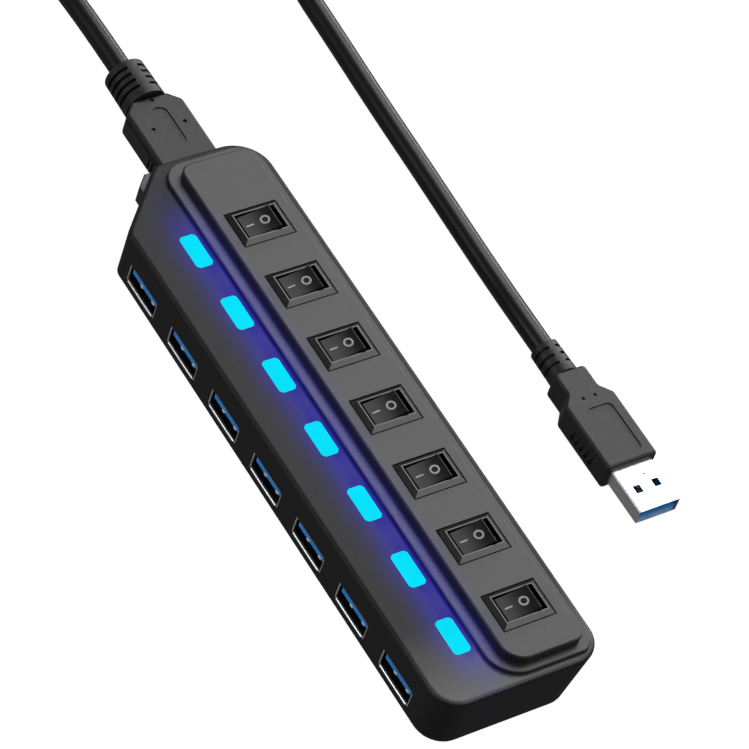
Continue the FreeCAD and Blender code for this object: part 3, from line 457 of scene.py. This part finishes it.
def rocker_marks(number):
    """The bar and the ring that mark a rocker's two sides."""
    x = middle(f"rocker_{number}").x
    body = f"rocker_{number}"
    bar = []
    for step in range(BAR_STEPS + 1):
        along = BAR_AT + (step / BAR_STEPS - 0.5) * BAR_LENGTH
        half = BAR_HALF_WIDTH * (BAR_END_SHARE if step in (0, BAR_STEPS) else 1.0)
        bar.append([(x - half, along), (x + half, along)])
    add_piece(f"bar_mark_{number}", strip_mesh(bar, False), body, MARK_PAINT)
    ring = []
    for step in range(RING_STEPS):
        angle = 2 * math.pi * step / RING_STEPS
        ring.append([(x + radius * math.cos(angle), RING_AT + radius * math.sin(angle))
                     for radius in RING_RADII])
    add_piece(f"ring_mark_{number}", strip_mesh(ring, True), body, MARK_PAINT)


for port in PORTS:
    rocker_marks(port)

# ---- steel lips and contact tips of the receptacles ------------------------------

LIP_SIZE = (11.9 * MM, 0.5 * MM, 0.62 * MM)
LIP_CROWN = 0.05 * MM
LIP_Z = 3.36 * MM
LIP_SUNK = LIP_SIZE[1] / 3
TIP_SIZE = (1.25 * MM, 0.3 * MM, 0.62 * MM)
TIP_CROWN = 0.03 * MM
TIP_Z = 6.4 * MM
TIP_SIDES = (-1.1 * MM, 4.3 * MM)       # from the port's middle
CROWN_CUTS = 6
EDGE_SHARE = 0.42                       # of the bar's smallest side
EDGE_SEGMENTS = 3
SHARP = 0.6                             # radians between two faces

LIP_PAINT = Paint("lip_steel", (0.93, 0.93, 0.94), 0.3, metallic=0.9).vary_roughness(1200.0, 0.06)
TIP_PAINT = Paint("tip_tin", (0.8, 0.82, 0.84), 0.35, metallic=0.3).vary_roughness(1500.0, 0.06)


def rounded_bar(size, at, crown):
    """A small bar along X with rounded edges, whose front face swells by crown."""
    mesh = bmesh.new()
    bmesh.ops.create_cube(mesh, size=1.0)
    for corner in mesh.verts:
        corner.co = Vector([part * length for part, length in zip(corner.co, size)])
    long_edges = [edge for edge in mesh.edges
                  if abs(edge.verts[0].co.x - edge.verts[1].co.x) > size[0] / 2]
    bmesh.ops.subdivide_edges(mesh, edges=long_edges, cuts=CROWN_CUTS)
    for corner in mesh.verts:
        if corner.co.y < 0:
            corner.co.y -= crown * (1.0 - (2 * corner.co.x / size[0]) ** 2)
    sharp = [edge for edge in mesh.edges if edge.calc_face_angle(0.0) > SHARP]
    bmesh.ops.bevel(mesh, geom=sharp, offset=min(size) * EDGE_SHARE,
                    segments=EDGE_SEGMENTS, affect="EDGES")
    bmesh.ops.translate(mesh, verts=mesh.verts, vec=at)
    return mesh


def port_trim(number):
    """The bright lower lip of a port's steel shell and the contact tips on its tongue."""
    x = middle(f"port_shell_{number}").x
    lip = rounded_bar(LIP_SIZE, Vector((x, PORT_FACE_Y + LIP_SUNK, LIP_Z)), LIP_CROWN)
    add_piece(f"port_lip_{number}", lip, "root", LIP_PAINT)
    tongue_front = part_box(f"port_tongue_{number}")[0].y
    for index, side in enumerate(TIP_SIDES, 1):
        tip = rounded_bar(TIP_SIZE, Vector((x + side, tongue_front, TIP_Z)), TIP_CROWN)
        add_piece(f"contact_tip_{number}_{index}", tip, "root", TIP_PAINT)


for port in PORTS:
    port_trim(port)

# ---- floor and lights --------------------------------------------------------------


FLOOR_REACH = 8.0
FLOOR_LIGHT = 0.97
WORLD_LIGHT = 0.16
WHITE = (1.0, 1.0, 1.0, 1.0)


def make_floor():
    """A plain white ground, kept out of the black case's reflections."""
    mesh = bpy.data.meshes.new("floor")
    corners = [(x * FLOOR_REACH, y * FLOOR_REACH, 0)
               for x, y in ((-1, -1), (1, -1), (1, 1), (-1, 1))]
    mesh.from_pydata(corners, [], [(0, 1, 2, 3)])
    floor = bpy.data.objects.new("floor", mesh)
    bpy.context.scene.collection.objects.link(floor)
    paint = Paint("floor_white", (0.2, 0.2, 0.2), 0.9, 0.0)
    paint.inputs["Emission Color"].default_value = WHITE
    paint.inputs["Emission Strength"].default_value = FLOOR_LIGHT
    mesh.materials.append(paint.material)
    floor.visible_glossy = False
    floor.visible_diffuse = False


def make_world():
    world = bpy.data.worlds.new("studio")
    world.use_nodes = True
    background = world.node_tree.nodes["Background"]
    background.inputs["Color"].default_value = WHITE
    background.inputs["Strength"].default_value = WORLD_LIGHT
    bpy.context.scene.world = world


def area_light(name, direction, distance, size, power):
    """A soft box that faces the origin from the given direction."""
    data = bpy.data.lights.new(name, "AREA")
    data.shape = "RECTANGLE"
    data.size, data.size_y = size
    data.energy = power
    light = bpy.data.objects.new(name, data)
    bpy.context.scene.collection.objects.link(light)
    way = Vector(direction).normalized()
    light.location = way * distance
    light.rotation_mode = "QUATERNION"
    light.rotation_quaternion = way.to_track_quat("Z", "Y")


make_floor()
make_world()
area_light("back_left", (-0.38, 0.50, 0.77), 1.2, (0.8, 0.7), 8.6)
area_light("back_right", (0.56, 0.50, 0.66), 1.2, (0.6, 0.6), 3.5)
area_light("back_low", (-0.42, 0.88, 0.22), 1.2, (0.9, 0.26), 6.5)
area_light("front", (-0.2, -0.85, 0.45), 1.0, (0.7, 0.5), 2.9)
bpy.context.scene.view_settings.view_transform = "Standard"

# ---- hand over -----------------------------------------------------------------------

bpy.context.view_layer.update()
